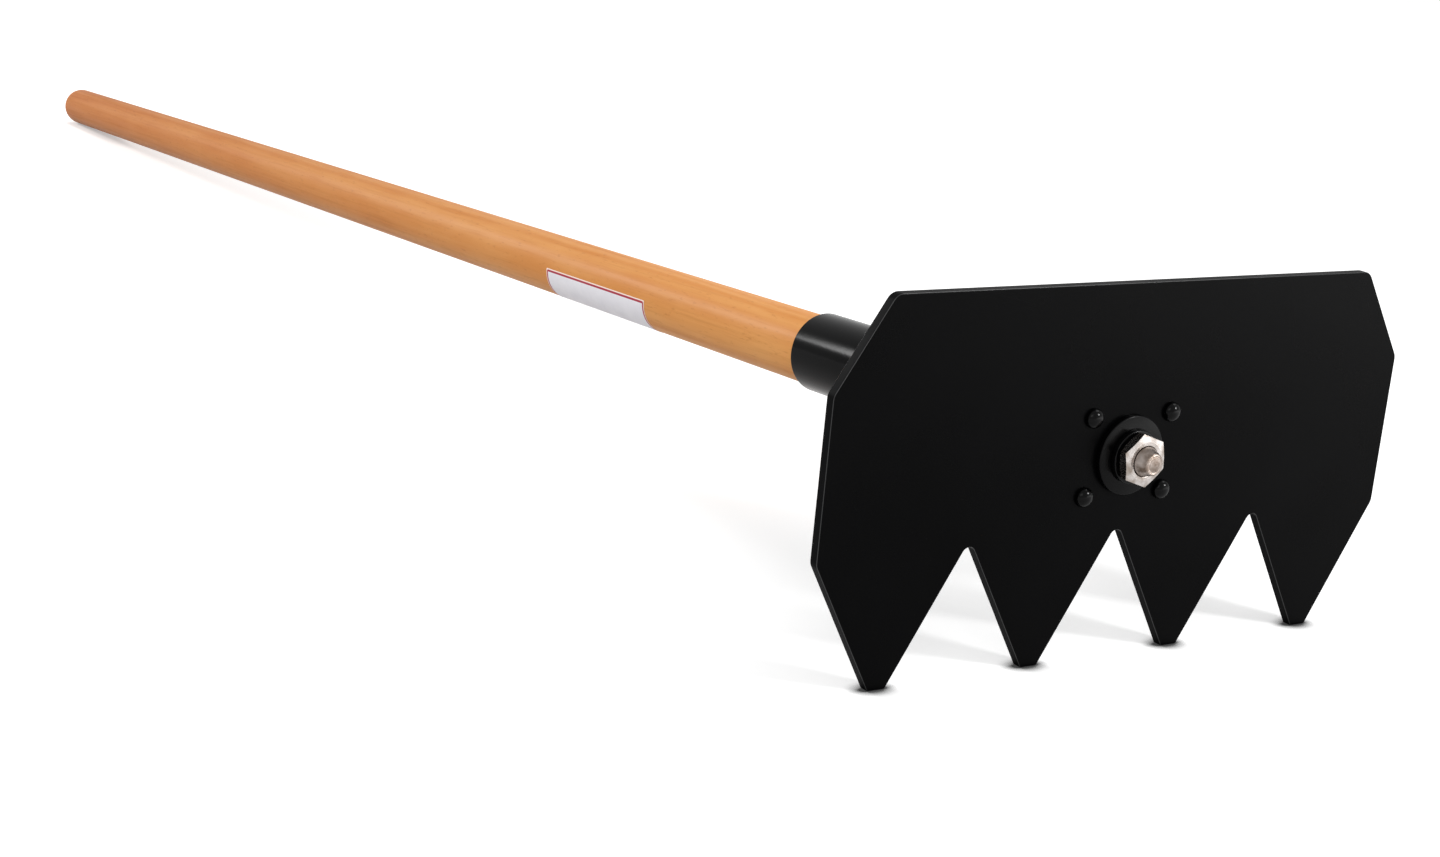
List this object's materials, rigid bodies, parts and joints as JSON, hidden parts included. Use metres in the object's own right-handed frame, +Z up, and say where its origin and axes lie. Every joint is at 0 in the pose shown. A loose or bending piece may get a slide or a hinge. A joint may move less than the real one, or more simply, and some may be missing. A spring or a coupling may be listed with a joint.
{
  "type": "fire rake",
  "caption": "Rigid hand rake with a flat toothed steel blade riveted to a welded socket tube, on a long tapered wooden handle held by a stud and nut.",
  "frame": {"origin": "on the ground under the middle of the tool's length, with the tool lying on its tooth tips and the end of its handle", "axes": "+X along the blade's width, +Y from the blade towards the end of the handle, so the blade's front faces -Y, +Z up"},
  "size_m": [0.33, 1.5324, 0.175],
  "materials": {
    "black_steel": "black powder coat, semi-gloss, slight orange peel",
    "black_tube": "black powder coat, glossier",
    "black_rivet": "black, gloss",
    "black_disc": "black, satin",
    "bright_steel": "bright stainless",
    "wood": "light orange-brown wood, clear satin varnish",
    "sticker": "white sheet with a thin red border, satin"
  },
  "bodies": {
    "root": {"blade": "black_steel", "socket_flange": "black_steel", "ferrule": "black_tube", "weld_bead": "black_tube", "rivet_upper_left": "black_rivet", "rivet_upper_right": "black_rivet", "rivet_lower_left": "black_rivet", "rivet_lower_right": "black_rivet", "hub_disc": "black_disc", "washer": "black_disc", "nut": "bright_steel", "stud": "bright_steel", "handle": "wood", "handle_label": "sticker"}
  },
  "joints": []
}
